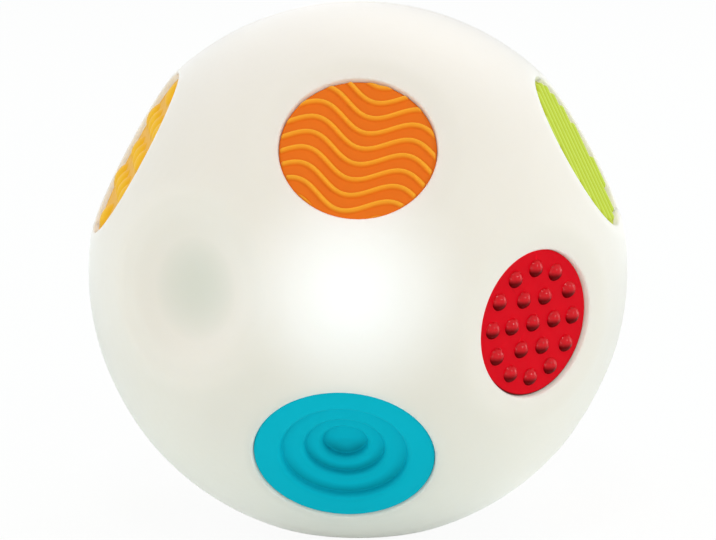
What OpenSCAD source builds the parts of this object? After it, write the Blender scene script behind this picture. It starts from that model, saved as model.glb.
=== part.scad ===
// Light-up sensory ball: two milky half shells with flattened spots, textured discs in their seats,
// and a battery well, board, lamp, speaker and switches inside.
// Origin at the middle of its box, 2 mm above the centre of the ball, +Z up, front towards -Y.
// It stands on the rim of its lowest dish.

/* [Ball] */
// Diameter of the ball
ball_d = 130; // [124:1:150]
// Wall of the moulded half shells
wall = 3; // [2.6:0.1:3.4]
// Depth of every spot below the round surface
spot_depth = 4; // [3.6:0.1:4.4]
// Radius of the plain dished spots
dish_r = 17; // [15:0.5:18]
// Depth of a dish below its rim
dish_depth = 2.6; // [1.6:0.1:3.2]
// Width of the flat rim round a dish
dish_rim_w = 2.8; // [1.6:0.1:3.2]

/* [Disc seats] */
// Radius of the seats of the wave discs
wave_r = 18; // [16:0.1:19]
// Radius of the seats of the bump discs
bump_r = 21.3; // [18:0.1:21.5]
// Radius of the seats of the ridge discs
ridge_r = 19.9; // [17:0.1:20.5]
// Radius of the seat of the stud disc
stud_r = 17.3; // [15.5:0.1:18.5]
// Radius of the seats of the bowl discs
bowl_r = 20.9; // [18:0.1:21.2]
// Depth of a seat below the flat of its spot
seat_depth = 4; // [3.6:0.1:4.6]
// Thickness of a disc's plate
disc_t = 2.8; // [2:0.1:3]

/* [Disc textures] */
// Height of the wave ridges
wave_h = 1.2; // [0.6:0.1:1.4]
// Distance between wave ridges
wave_pitch = 4.1; // [3.4:0.1:5]
// Length of one wave
wave_len = 22.6; // [18:0.2:28]
// Swing of a wave to each side
wave_swing = 2.6; // [1.5:0.1:3]
// Width of a wave ridge
wave_w = 1.5; // [1:0.1:2]
// Radius of a stud
stud_dome_r = 2.1; // [1.5:0.1:2.3]
// Height of a stud
stud_dome_h = 1.5; // [1:0.1:1.6]
// Radius of a low bump
bump_dome_r = 3.6; // [2:0.1:3.8]
// Height of a low bump
bump_dome_h = 1.4; // [0.8:0.1:1.5]
// Distance between bumps
bump_pitch = 9.6; // [8:0.1:10.4]
// Distance between straight ridges
ridge_pitch = 4.4; // [3.6:0.1:6]
// Radius of a straight ridge's round back
ridge_back_r = 1.1; // [0.8:0.1:1.4]
// Height of one step of a bowl
bowl_step_h = 1.8; // [1.2:0.1:2]
// Depth of a bowl's rim below the flat of its spot
bowl_sink = 0.5; // [0.3:0.1:1]

/* [Battery well] */
// Radius of the battery door
door_r = 19.3; // [18.8:0.1:19.6]
// Thickness of the battery door
door_t = 2.4; // [2:0.1:2.8]
// Diameter of a cell
cell_d = 10.5; // [10.1:0.1:10.7]
// Length of a cell
cell_len = 44.5; // [43:0.1:44.5]

/* [Board and speaker] */
// Width of the circuit board
board_w = 40; // [36:1:44]
// Height of the circuit board
board_h = 32; // [30:1:36]
// Thickness of the circuit board
board_t = 1.6; // [1.2:0.1:2]
// Distance from the front of the ball to the board
board_back = 25; // [23:0.5:28]
// Radius of the lamp's lens
led_r = 2.5; // [1.5:0.1:2.5]
// Outer radius of the speaker
speaker_r = 17; // [15:0.5:17]

/* [Switches] */
// Travel of the power switch
switch_travel = 4; // [3:0.1:4.5]
// Radius of the motion switch's ball
motion_ball_r = 2; // [1.6:0.1:2.2]
// Length of the motion switch's chamber
motion_room_h = 8; // [7:0.1:9]

/* [Hidden] */
$fn = 96;
full_turn = 360;
half_turn = 180;
quarter_turn = 90;

// Clearances and cuts
overrun = 1;
fit_gap = 0.15;
touch_gap = 0.1;
lip_gap = 0.15;

// Directions of the spots: turn to the right from the front, and height over the equator
wave_dir = [0, 37.8];
bump_dir = [-84, 29];
ridge_dir = [81, 30];
stud_dir = [42, -3.5];
bowl_dir = [-3.6, -33.4];
dish_dir = [-38.5, 4.5];
bottom_dir = [45, -90];
switch_dir = [180, 0];
glow_dir = [-1, 6.5];
function opposite(dir) = [dir[0] + half_turn, -dir[1]];
speaker_dir = opposite(stud_dir);
door_dir = opposite(dish_dir);

// Ball and spots
ball_r = ball_d / 2;
flat_z = ball_r - spot_depth;
cup_wall = 2;
cup_floor = 2.4;
rim_w = 0.6;
lip_w = 0.35;
edge_min_r = 1.5;
edge_cross = 12;
edge_over = 0.4;
bowl_shares = [0.69, 0.436, 0.242];
bowl_floor_t = 1.8;
bowl_seat_depth = bowl_sink + len(bowl_shares) * bowl_step_h + bowl_floor_t;
dish_back_z = flat_z - dish_depth - wall;
dish_round_r = (dish_r * dish_r + dish_depth * dish_depth) / (2 * dish_depth);

// Each row: direction, radius of the seat and depth of the seat
disc_seats = [
  [wave_dir, wave_r, seat_depth],
  [bump_dir, bump_r, seat_depth],
  [ridge_dir, ridge_r, seat_depth],
  [stud_dir, stud_r, seat_depth],
  [bowl_dir, bowl_r, bowl_seat_depth],
  [opposite(wave_dir), wave_r, seat_depth],
  [opposite(bump_dir), bump_r, seat_depth],
  [opposite(ridge_dir), ridge_r, seat_depth],
  [opposite(bowl_dir), bowl_r, bowl_seat_depth],
];
dish_dirs = [dish_dir, bottom_dir, speaker_dir];

// Disc stems, staked behind the seat's floor
stem_r = 3;
stem_head_r = 5;
stem_head_t = 1.6;

// Disc textures
disc_face_z = flat_z - seat_depth + disc_t;
wave_turn = -16;
wave_lead_share = 0.26;
wave_row_share = -0.24;
wave_steps = 30;
texture_margin = 0.5;
dome_root = 0.6;
bump_row_turn = 60;
stud_rings = [[1, 0], [6, 0.39], [12, 0.74]];
ridge_turn = 62;

// Seam: tabs of the front shell between the spots, which go behind the rear shell's edge
tab_h = 1.6;
tab_in_share = 0.1;
tab_out_share = 0.5;
tab_in_r = ball_r - wall * (1 - tab_in_share);
tab_out_r = ball_r - wall * (1 - tab_out_share);
tab_room_r = ball_r - wall * (1 + tab_in_share);
tab_clear = 4.1;
seam_seats = [
  [bottom_dir, dish_r + dish_rim_w],
  [bump_dir, bump_r],
  [ridge_dir, ridge_r],
  [opposite(bump_dir), bump_r],
  [opposite(ridge_dir), ridge_r],
];

// Shell screws: places as shares of the ball's radius
shell_screw_shares = [[-0.46, -0.4], [-0.46, 0.5], [0.52, 0.4], [0.43, -0.55]];
shell_screw_r = 1.5;
shell_head_r = 2.9;
shell_head_t = 2;
shell_seat_y = 9;
shell_screw_len = 18;
boss_r = 4.3;

// Small screws
small_screw_r = 1;
small_head_r = 1.9;
small_head_t = 1.4;
small_boss_r = 2.6;
slot_w = 0.6;
slot_depth = 0.7;
slot_len_share = 0.7;
tip_room = 1;

// Battery well, along the door's direction
door_sink = 0.4;
door_play = 0.2;
ledge_z = flat_z - door_sink - door_t;
door_mouth_r = door_r + door_play;
door_screw_x = 15.9;
door_screw_len = 9;
door_head_r = 2.4;
door_head_t = 1.5;
door_grip_r = 60;
door_grip_depth = 0.5;
contact_t = 0.5;
contact_r = 4.2;
spring_h = 3;
cell_gap = 0.4;
cell_play = 0.35;
cell_nub_r = 1.9;
cell_nub_h = 1;
well_wall = 1.8;
cell_ring = (cell_d + cell_gap) / sqrt(3);
well_r = cell_d / 2 + cell_play;
well_block_r = cell_ring + well_r + well_wall;
contact_room_h = 1.2;
cell_top_z = ledge_z - contact_t - touch_gap;
cell_low_z = cell_top_z - cell_len;
well_floor_z = cell_low_z - touch_gap - spring_h;
well_low_z = well_floor_z - well_wall;
well_turn = 30;
cell_count = 3;

// Board, on four posts of the front shell
board_y = -(ball_r - board_back);
board_z = 4;
board_rear_y = board_y + board_t;
post_inset = 4.5;
post_x = board_w / 2 - post_inset;
post_z = board_h / 2 - post_inset;
post_r = 2.8;
board_screw_len = 8;
led_x = ball_r * cos(glow_dir[1]) * sin(glow_dir[0]);
led_z = ball_r * sin(glow_dir[1]);
led_len = 6;
led_flange_w = 0.4;
led_flange_r = led_r + led_flange_w;
led_flange_t = 1;
led_leg_r = 0.3;
led_leg_len = 2;
led_leg_x = 1.27;
chip_r = 6;
chip_h = 2;
chip_x = -9;
cap_r = 3;
cap_h = 8;
cap_x = 2;
cap_z = -6;
resistor_size = [3.2, 0.6, 1.6];
resistor_pitch = 2.6;
resistor_x = 0;
resistor_z = 10;
resistor_count = 4;

// Motion switch, on the rear face of the board
motion_play = 0.1;
motion_wall = 1;
motion_bore_r = motion_ball_r + motion_play;
motion_w = 2 * (motion_bore_r + motion_wall);
motion_h = motion_room_h + 2 * motion_wall;
motion_x = 12;
motion_y = board_rear_y + motion_w / 2;
motion_low_z = board_z - motion_h / 2;

// Speaker, behind the rear dish with the grille
grille_r = 1.2;
grille_rings = [[1, 0], [6, 0.3], [12, 0.58]];
speaker_flange_t = 1.2;
speaker_depth = 8.8;
speaker_wall_t = 1.8;
magnet_r = 9;
magnet_h = 6;
clamp_t = 1.5;
clamp_ear_reach = 4;
clamp_ear_x = speaker_r + clamp_ear_reach;
clamp_turn = 45;
clamp_in_share = 0.84;
clamp_screw_len = 5;
frame_r_shares = [0.79, 1, 1, 0.81, 0.58, 0.24, 0.24, 0.54, 0.73, 0.73, 0.79];
frame_z_shares = [0, 0, -0.136, -0.136, -1, -1, -0.91, -0.91, -0.22, -0.11, -0.11];
cone_r_shares = [0.78, 0.78, 0.715, 0.3, 0.3, 0.212, 0.212, 0.188, 0.188, 0, 0, 0.31, 0.705];
cone_z_shares = [-0.07, -0.11, -0.11, -0.7, -0.74, -0.74, -0.97, -0.97, -0.7, -0.7, -0.64, -0.64, -0.07];

// Power switch, in a recess at the back
switch_recess_w = 18;
switch_recess_h = 9;
switch_recess_depth = 2.6;
switch_floor_z = ball_r - switch_recess_depth;
switch_floor_t = 2.4;
switch_block_h = 12;
switch_body_share = 0.2;
switch_body_w = ball_r * switch_body_share;
switch_body_h = 7;
switch_body_d = 6;
switch_ear_t = 1.2;
switch_screw_share = 0.175;
switch_screw_x = ball_r * switch_screw_share;
switch_block_w = 2 * (switch_screw_x + small_boss_r);
switch_screw_len = 4.2;
switch_stem_w = 3;
switch_stem_depth = 2;
switch_play = 0.3;
switch_pad_w = 8;
switch_pad_h = 7;
switch_pad_t = 1.5;
switch_pad_lift = 0.2;
switch_rib_w = 0.8;
switch_rib_count = 3;
switch_rib_depth = 0.5;
switch_back_z = switch_floor_z - switch_floor_t;
switch_slot_w = switch_stem_w + switch_travel + 2 * switch_play;

// Colours
milky = "#eceae2";
orange = "#eb8534";
yellow = "#ecc866";
green = "#b5cf3f";
red = "#c63535";
blue = "#0da7ba";
steel = "#b8bcc0";
brass = "#c9a54a";
black = "#2b2b2d";
board_green = "#2f6b3f";

// Turns a piece that faces +Z so that it faces a direction, with +Y up the ball
module facing(dir) {
  rotate([quarter_turn - dir[1], 0, dir[0]]) children();
}

// Turns a piece that faces +Z so that it faces the front, -Y
module facing_front() {
  rotate([quarter_turn, 0, 0]) children();
}

// Turns a piece that faces +Z so that it faces the back, +Y
module facing_back() {
  rotate([-quarter_turn, 0, 0]) children();
}

// Tube or ring between two radii
module ring(r_in, r_out, h) {
  difference() {
    cylinder(r = r_out, h = h);
    translate([0, 0, -overrun]) cylinder(r = r_in, h = h + 2 * overrun);
  }
}

// Dome of a given foot radius and height, with a short root below its foot
module dome(foot_r, h, root) {
  round_r = (foot_r * foot_r + h * h) / (2 * h);
  intersection() {
    translate([0, 0, h - round_r]) sphere(r = round_r);
    translate([0, 0, -root]) cylinder(r = 2 * round_r, h = root + 2 * round_r);
  }
}

// Children in rings round the axis: each row has a count and a share of the radius
module in_rings(rings, r) {
  for (row = rings) {
    for (i = [0 : row[0] - 1]) {
      rotate([0, 0, full_turn * i / row[0]]) translate([r * row[1], 0, 0]) children();
    }
  }
}

// Pan-head screw facing +Z, with its head on z = 0 and a cross slot
module screw(r, len, head_r, head_t) {
  translate([0, 0, -len]) cylinder(r = r, h = len + head_t / 2);
  difference() {
    cylinder(r = head_r, h = head_t);
    for (turn = [0, quarter_turn]) {
      rotate([0, 0, turn]) translate([-head_r * slot_len_share, -slot_w / 2, head_t - slot_depth])
        cube([2 * head_r * slot_len_share, slot_w, slot_depth + overrun]);
    }
  }
}

// Cutter of one spot: a flat with a rounded edge that runs out into the round surface
module spot_cut(flat_r) {
  edge_r = max(edge_min_r, (ball_r + flat_z - flat_r * flat_r / spot_depth) / 2);
  drop = flat_z - edge_r;
  reach = sqrt(pow(ball_r - edge_r, 2) + 2 * ball_r * edge_r * (1 - cos(edge_cross)));
  arc_r = sqrt(reach * reach - drop * drop);
  low_z = (reach + edge_r) * drop / reach;
  out_r = (reach + edge_r) * arc_r / reach + edge_over;
  rotate_extrude() {
    difference() {
      translate([0, low_z]) square([out_r, ball_r + overrun - low_z]);
      translate([0, low_z]) square([arc_r, flat_z - low_z]);
      translate([arc_r, drop]) circle(r = edge_r);
    }
  }
}

// Cutter of one seat: a flat-bottomed hole with a broken lip
module seat_cut(r, depth) {
  translate([0, 0, flat_z - depth]) cylinder(r = r, h = depth + overrun);
  translate([0, 0, flat_z - lip_w]) cylinder(r1 = r, r2 = r + lip_w + overrun, h = lip_w + overrun);
}

// Half of space on one side of the seam: -1 is the front, 1 the back
module half_space(side) {
  reach = ball_r + overrun;
  translate([-reach, side < 0 ? -reach : 0, -reach]) cube([2 * reach, reach, 2 * reach]);
}

// Outer form of one half of the ball
module half_form(side) {
  difference() {
    intersection() {
      facing_front() sphere(r = ball_r);
      half_space(side);
    }
    for (seat = disc_seats) facing(seat[0]) spot_cut(seat[1] + rim_w);
    for (dir = dish_dirs) facing(dir) spot_cut(dish_r + dish_rim_w);
    facing(door_dir) spot_cut(door_mouth_r + rim_w);
  }
}

// Room inside the shells, with a cup left standing behind every spot
module ball_room() {
  difference() {
    facing_front() sphere(r = ball_r - wall);
    for (seat = disc_seats) {
      facing(seat[0]) translate([0, 0, flat_z - seat[2] - cup_floor])
        cylinder(r = seat[1] + cup_wall, h = ball_r);
    }
    for (dir = dish_dirs) {
      facing(dir) translate([0, 0, dish_back_z]) cylinder(r = dish_r + cup_wall, h = ball_r);
    }
    facing(door_dir) translate([0, 0, ledge_z - cup_floor])
      cylinder(r = door_mouth_r + cup_wall, h = ball_r);
  }
}

// Everything that is cut into the spots: disc seats, stem holes and dishes
module spot_hollows() {
  for (seat = disc_seats) {
    facing(seat[0]) {
      seat_cut(seat[1], seat[2]);
      translate([0, 0, flat_z - seat[2] - cup_floor - overrun])
        cylinder(r = stem_r + fit_gap, h = cup_floor + 2 * overrun);
    }
  }
  for (dir = dish_dirs) {
    facing(dir) intersection() {
      translate([0, 0, flat_z - dish_depth + dish_round_r]) sphere(r = dish_round_r);
      translate([0, 0, flat_z - dish_depth - overrun])
        cylinder(r = dish_r + dish_rim_w, h = dish_depth + 2 * overrun);
    }
  }
}

// Children at the place of each shell screw, facing the back
module at_shell_screws() {
  for (place = shell_screw_shares) {
    translate([ball_r * place[0], 0, ball_r * place[1]]) facing_back() children();
  }
}

// Children at the place of each board post, facing the back, on the board's front face
module at_posts() {
  for (x = [-post_x, post_x]) {
    for (z = [-post_z, post_z]) {
      translate([x, board_y, board_z + z]) facing_back() children();
    }
  }
}

// Children at the place of each screw of the battery door
module at_door_screws() {
  for (x = [-door_screw_x, door_screw_x]) translate([x, 0, 0]) children();
}

// Children at the place of each clamp ear of the speaker
module at_clamp_ears() {
  for (x = [-clamp_ear_x, clamp_ear_x]) rotate([0, 0, clamp_turn]) translate([x, 0, 0]) children();
}

// Children at the place of each screw of the power switch
module at_switch_screws() {
  for (x = [-switch_screw_x, switch_screw_x]) translate([x, 0, 0]) children();
}

// Children at the place of each cell
module at_cells() {
  for (i = [0 : cell_count - 1]) {
    rotate([0, 0, well_turn + full_turn * i / cell_count]) translate([cell_ring, 0, 0]) children();
  }
}

// Front shell: posts and bosses stand from the wall into the room
module front_shell() {
  color(milky) difference() {
    union() {
      half_form(-1);
      seam_ring(tab_in_r, tab_out_r, 0, tab_h, 0);
    }
    difference() {
      ball_room();
      at_posts() translate([0, 0, -ball_r]) cylinder(r = post_r, h = ball_r);
      at_shell_screws() translate([0, 0, -ball_r]) cylinder(r = boss_r, h = ball_r);
    }
    spot_hollows();
    at_posts() translate([0, 0, -board_screw_len]) cylinder(r = small_screw_r + fit_gap, h = board_screw_len);
    at_shell_screws() translate([0, 0, shell_seat_y - shell_screw_len - tip_room])
      cylinder(r = shell_screw_r + fit_gap, h = shell_screw_len);
  }
}

// Rear shell: battery well, speaker seat, switch recess and screw wells
module rear_shell() {
  color(milky) difference() {
    half_form(1);
    difference() {
      ball_room();
      at_shell_screws() cylinder(r = boss_r, h = ball_r);
      facing(door_dir) {
        translate([0, 0, well_low_z]) cylinder(r = well_block_r, h = ledge_z - well_low_z);
        at_door_screws() translate([0, 0, ledge_z - door_screw_len - well_wall])
          cylinder(r = small_boss_r, h = door_screw_len);
      }
      facing(speaker_dir) {
        translate([0, 0, dish_back_z - speaker_flange_t])
          ring(speaker_r + fit_gap, speaker_r + fit_gap + speaker_wall_t, speaker_flange_t + wall);
        at_clamp_ears() translate([0, 0, dish_back_z - speaker_flange_t])
          cylinder(r = small_boss_r, h = ball_r);
      }
      facing(switch_dir) translate([-switch_block_w / 2, -switch_block_h / 2, switch_back_z])
        cube([switch_block_w, switch_block_h, ball_r]);
    }
    spot_hollows();
    seam_ring(tab_room_r, tab_out_r + lip_gap, overrun, tab_h + lip_gap, lip_gap);
    screw_wells();
    battery_hollow();
    speaker_hollow();
    switch_hollow();
  }
}

// Ring at the seam, from a depth in front of it to a height behind it, left out round the spots that
// lie across it
module seam_ring(r_in, r_out, depth, h, gap) {
  difference() {
    facing_back() translate([0, 0, -depth]) ring(r_in, r_out, depth + h);
    for (seat = seam_seats) {
      facing(seat[0]) cylinder(r = seat[1] + tab_clear - gap, h = ball_r + overrun);
    }
  }
}

// Deep wells of the shell screws
module screw_wells() {
  at_shell_screws() {
    translate([0, 0, -overrun]) cylinder(r = shell_screw_r + fit_gap, h = ball_r);
    translate([0, 0, shell_seat_y]) cylinder(r = shell_head_r + fit_gap, h = ball_r);
  }
}

// Door seat, cell wells and the door's screw holes
module battery_hollow() {
  facing(door_dir) {
    seat_cut(door_mouth_r, flat_z - ledge_z);
    translate([0, 0, ledge_z - contact_room_h])
      cylinder(r = well_block_r - well_wall, h = contact_room_h + overrun);
    at_cells() translate([0, 0, well_floor_z]) cylinder(r = well_r, h = ledge_z - well_floor_z);
    at_door_screws() translate([0, 0, ledge_z - door_screw_len])
      cylinder(r = small_screw_r + fit_gap, h = door_screw_len + overrun);
  }
}

// Grille holes and the clamp's screw holes
module speaker_hollow() {
  facing(speaker_dir) {
    in_rings(grille_rings, dish_r) translate([0, 0, dish_back_z - overrun])
      cylinder(r = grille_r, h = ball_r - dish_back_z + overrun);
    at_clamp_ears() translate([0, 0, dish_back_z - speaker_flange_t - overrun])
      cylinder(r = small_screw_r + fit_gap, h = clamp_screw_len + overrun);
  }
}

// Slot that the knob's stem slides in
module switch_slot(h) {
  slot_h = switch_stem_w + 2 * switch_play;
  translate([-switch_slot_w / 2, -slot_h / 2, 0]) cube([switch_slot_w, slot_h, h]);
}

// Recess, slot and screw holes of the power switch
module switch_hollow() {
  facing(switch_dir) {
    translate([-switch_recess_w / 2, -switch_recess_h / 2, switch_floor_z])
      cube([switch_recess_w, switch_recess_h, ball_r]);
    translate([0, 0, switch_back_z - overrun]) switch_slot(switch_floor_t + 2 * overrun);
    at_switch_screws() translate([0, 0, switch_back_z - overrun])
      cylinder(r = small_screw_r + fit_gap, h = switch_screw_len - switch_ear_t + overrun);
  }
}

// Plate of a disc with the stem that is staked behind its seat
module disc_plate(r, seat, plate_t) {
  low_z = flat_z - seat;
  translate([0, 0, low_z]) cylinder(r = r - fit_gap, h = plate_t);
  translate([0, 0, low_z - cup_floor - stem_head_t])
    cylinder(r = stem_r, h = cup_floor + stem_head_t + plate_t / 2);
  translate([0, 0, low_z - cup_floor - stem_head_t]) cylinder(r = stem_head_r, h = stem_head_t);
}

// One ridge of the wave texture, as a flat band along X
module wave_band(r) {
  xs = [for (i = [0 : wave_steps]) r * (2 * i / wave_steps - 1)];
  upper = [for (x = xs) [x, wave_swing * sin(full_turn * (x / wave_len - wave_lead_share)) + wave_w / 2]];
  lower = [for (p = upper) [p[0], p[1] - wave_w]];
  polygon(concat(upper, [for (i = [wave_steps : -1 : 0]) lower[i]]));
}

module wave_disc(dir) {
  count = floor((wave_r + wave_swing) / wave_pitch);
  face_r = wave_r - fit_gap - texture_margin;
  color(orange) facing(dir) {
    disc_plate(wave_r, seat_depth, disc_t);
    intersection() {
      translate([0, 0, disc_face_z - dome_root]) cylinder(r = face_r, h = wave_h + dome_root);
      rotate([0, 0, wave_turn]) {
        for (i = [-count : count]) {
          translate([0, (i + wave_row_share) * wave_pitch, disc_face_z - dome_root])
            linear_extrude(height = wave_h + dome_root) wave_band(wave_r);
        }
      }
    }
  }
}

module bump_disc(dir) {
  row_h = bump_pitch * sin(bump_row_turn);
  count = ceil(bump_r / row_h);
  face_r = bump_r - fit_gap - texture_margin - bump_dome_r;
  color(yellow) facing(dir) {
    disc_plate(bump_r, seat_depth, disc_t);
    for (i = [-count : count]) {
      for (j = [-count : count]) {
        x = bump_pitch * (j + (i % 2 == 0 ? 0 : 1) / 2);
        y = row_h * i;
        if (norm([x, y]) <= face_r) {
          translate([x, y, disc_face_z]) dome(bump_dome_r, bump_dome_h, dome_root);
        }
      }
    }
  }
}

module ridge_disc(dir) {
  count = floor((ridge_r - ridge_back_r) / ridge_pitch);
  face_r = ridge_r - fit_gap - texture_margin;
  color(green) facing(dir) {
    disc_plate(ridge_r, seat_depth, disc_t);
    rotate([0, 0, ridge_turn]) {
      for (i = [-count : count]) {
        half_len = sqrt(face_r * face_r - pow(abs(i * ridge_pitch) + ridge_back_r, 2));
        translate([-half_len, i * ridge_pitch, disc_face_z]) rotate([0, quarter_turn, 0])
          cylinder(r = ridge_back_r, h = 2 * half_len);
      }
    }
  }
}

module stud_disc() {
  color(red) facing(stud_dir) {
    disc_plate(stud_r, seat_depth, disc_t);
    in_rings(stud_rings, stud_r) translate([0, 0, disc_face_z]) dome(stud_dome_r, stud_dome_h, dome_root);
  }
}

module bowl_disc(dir) {
  top = bowl_seat_depth - bowl_sink;
  steps = len(bowl_shares);
  rim = bowl_r - fit_gap;
  profile = concat(
    [[0, 0], [rim, 0], [rim, top]],
    [for (i = [0 : steps - 1]) each [
      [bowl_r * bowl_shares[i], top - i * bowl_step_h],
      [bowl_r * bowl_shares[i], top - (i + 1) * bowl_step_h],
    ]],
    [[0, top - steps * bowl_step_h]]
  );
  color(blue) facing(dir) {
    disc_plate(bowl_r, bowl_seat_depth, bowl_floor_t);
    translate([0, 0, flat_z - bowl_seat_depth]) rotate_extrude() polygon(profile);
  }
}

module shell_screws() {
  color(steel) at_shell_screws() translate([0, 0, shell_seat_y])
    screw(shell_screw_r, shell_screw_len, shell_head_r, shell_head_t);
}

module battery_door() {
  color(milky) facing(door_dir) difference() {
    translate([0, 0, ledge_z]) cylinder(r = door_r, h = door_t);
    at_door_screws() {
      translate([0, 0, ledge_z - overrun]) cylinder(r = small_screw_r + fit_gap, h = door_t + 2 * overrun);
      translate([0, 0, ledge_z + door_t - door_head_t]) cylinder(r = door_head_r + fit_gap, h = ball_r);
    }
    translate([0, 0, ledge_z + door_t - door_grip_depth + door_grip_r]) sphere(r = door_grip_r);
  }
}

module door_screws() {
  color(steel) facing(door_dir) at_door_screws() translate([0, 0, ledge_z + door_t - door_head_t])
    screw(small_screw_r, door_screw_len, door_head_r, door_head_t);
}

// Cells stand side by side in a triangle
module battery_cells() {
  color(brass) facing(door_dir) at_cells() {
    translate([0, 0, cell_low_z]) cylinder(r = cell_d / 2, h = cell_len - cell_nub_h);
    translate([0, 0, cell_low_z]) cylinder(r = cell_nub_r, h = cell_len);
  }
}

// Spring contacts at the foot of the wells: a plate and a short wound cone
module base_contacts() {
  color(steel) facing(door_dir) at_cells() translate([0, 0, well_floor_z]) {
    cylinder(r = contact_r, h = contact_t);
    cylinder(r1 = contact_r, r2 = cell_nub_r, h = spring_h);
  }
}

// Link plates on the underside of the door
module door_contacts() {
  color(steel) facing(door_dir) at_cells() translate([0, 0, ledge_z - contact_t])
    cylinder(r = contact_r, h = contact_t);
}

module main_board() {
  color(board_green) difference() {
    translate([-board_w / 2, board_y, board_z - board_h / 2]) cube([board_w, board_t, board_h]);
    at_posts() translate([0, 0, -overrun]) cylinder(r = small_screw_r + fit_gap, h = board_t + 2 * overrun);
  }
}

module board_screws() {
  color(steel) at_posts() translate([0, 0, board_t])
    screw(small_screw_r, board_screw_len, small_head_r, small_head_t);
}

module glow_led() {
  color("white") translate([led_x, board_y, led_z]) facing_front() {
    translate([0, 0, led_leg_len]) {
      cylinder(r = led_flange_r, h = led_flange_t);
      cylinder(r = led_r, h = led_len);
      translate([0, 0, led_len]) sphere(r = led_r);
    }
    for (x = [-led_leg_x, led_leg_x]) {
      translate([x, 0, 0]) cylinder(r = led_leg_r, h = led_leg_len + led_flange_t / 2);
    }
  }
}

module sound_chip() {
  color(black) translate([chip_x, board_rear_y, board_z]) facing_back() dome(chip_r, chip_h, 0);
}

module capacitor() {
  color(black) translate([cap_x, board_rear_y, board_z + cap_z]) facing_back()
    cylinder(r = cap_r, h = cap_h);
}

module resistors() {
  color(black) for (i = [0 : resistor_count - 1]) {
    x = resistor_x + (i - (resistor_count - 1) / 2) * resistor_pitch;
    translate([x - resistor_size[2] / 2, board_rear_y, board_z + resistor_z - resistor_size[0] / 2])
      cube([resistor_size[2], resistor_size[1], resistor_size[0]]);
  }
}

module motion_can() {
  color(steel) difference() {
    translate([motion_x - motion_w / 2, board_rear_y, motion_low_z]) cube([motion_w, motion_w, motion_h]);
    translate([motion_x, motion_y, motion_low_z + motion_wall])
      cylinder(r = motion_bore_r, h = motion_room_h);
  }
}

module motion_ball() {
  color(steel) translate([motion_x, motion_y, motion_low_z + motion_wall + motion_play + motion_ball_r])
    sphere(r = motion_ball_r);
}

// Outline of a turned speaker piece from its shares of the speaker's radius and depth
function speaker_outline(r_shares, z_shares) =
  [for (i = [0 : len(r_shares) - 1]) [speaker_r * r_shares[i], speaker_depth * z_shares[i]]];

module speaker_frame() {
  color(steel) facing(speaker_dir) translate([0, 0, dish_back_z])
    rotate_extrude() polygon(speaker_outline(frame_r_shares, frame_z_shares));
}

module speaker_cone() {
  color(black) facing(speaker_dir) translate([0, 0, dish_back_z])
    rotate_extrude() polygon(speaker_outline(cone_r_shares, cone_z_shares));
}

module speaker_magnet() {
  color(black) facing(speaker_dir) translate([0, 0, dish_back_z - speaker_depth - magnet_h])
    cylinder(r = magnet_r, h = magnet_h);
}

module speaker_clamp() {
  low_z = dish_back_z - speaker_flange_t - clamp_t;
  color(black) facing(speaker_dir) difference() {
    union() {
      translate([0, 0, low_z]) cylinder(r = speaker_r + speaker_wall_t, h = clamp_t);
      at_clamp_ears() translate([0, 0, low_z]) cylinder(r = small_boss_r, h = clamp_t);
    }
    translate([0, 0, low_z - overrun]) cylinder(r = speaker_r * clamp_in_share, h = clamp_t + 2 * overrun);
    at_clamp_ears() translate([0, 0, low_z - overrun])
      cylinder(r = small_screw_r + fit_gap, h = clamp_t + 2 * overrun);
  }
}

module clamp_screws() {
  low_z = dish_back_z - speaker_flange_t - clamp_t;
  color(steel) facing(speaker_dir) at_clamp_ears() translate([0, 0, low_z]) rotate([half_turn, 0, 0])
    screw(small_screw_r, clamp_t + clamp_screw_len - tip_room, small_head_r, small_head_t);
}

module switch_body() {
  low_z = switch_back_z - switch_body_d;
  color(black) facing(switch_dir) difference() {
    union() {
      translate([-switch_body_w / 2, -switch_body_h / 2, low_z])
        cube([switch_body_w, switch_body_h, switch_body_d]);
      translate([-switch_block_w / 2, -switch_body_h / 2, switch_back_z - switch_ear_t])
        cube([switch_block_w, switch_body_h, switch_ear_t]);
    }
    translate([0, 0, switch_back_z - switch_stem_depth - switch_play]) switch_slot(ball_r);
    at_switch_screws() translate([0, 0, low_z]) cylinder(r = small_screw_r + fit_gap, h = ball_r);
  }
}

// Knob at its off end: a ribbed pad over the slot and a stem down into the switch
module switch_knob() {
  pad_z = switch_floor_z + switch_pad_lift;
  groove_z = pad_z + switch_pad_t - switch_rib_depth;
  color(black) facing(switch_dir) translate([-switch_travel / 2, 0, 0]) {
    difference() {
      translate([-switch_pad_w / 2, -switch_pad_h / 2, pad_z])
        cube([switch_pad_w, switch_pad_h, switch_pad_t]);
      for (i = [0 : switch_rib_count]) {
        x = (i - switch_rib_count / 2) * 2 * switch_rib_w;
        translate([x - switch_rib_w / 2, -switch_pad_h / 2 - overrun, groove_z])
          cube([switch_rib_w, switch_pad_h + 2 * overrun, switch_pad_t]);
      }
    }
    translate([-switch_stem_w / 2, -switch_stem_w / 2, switch_back_z - switch_stem_depth])
      cube([switch_stem_w, switch_stem_w, pad_z - switch_back_z + switch_stem_depth + switch_pad_t / 2]);
  }
}

module switch_screws() {
  color(steel) facing(switch_dir) at_switch_screws() translate([0, 0, switch_back_z - switch_ear_t])
    rotate([half_turn, 0, 0]) screw(small_screw_r, switch_screw_len - tip_room, small_head_r, small_head_t);
}

// The ball's middle lies under the middle of its box by half the depth of the lowest spot
module placed() {
  translate([0, 0, -spot_depth / 2]) children();
}

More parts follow.
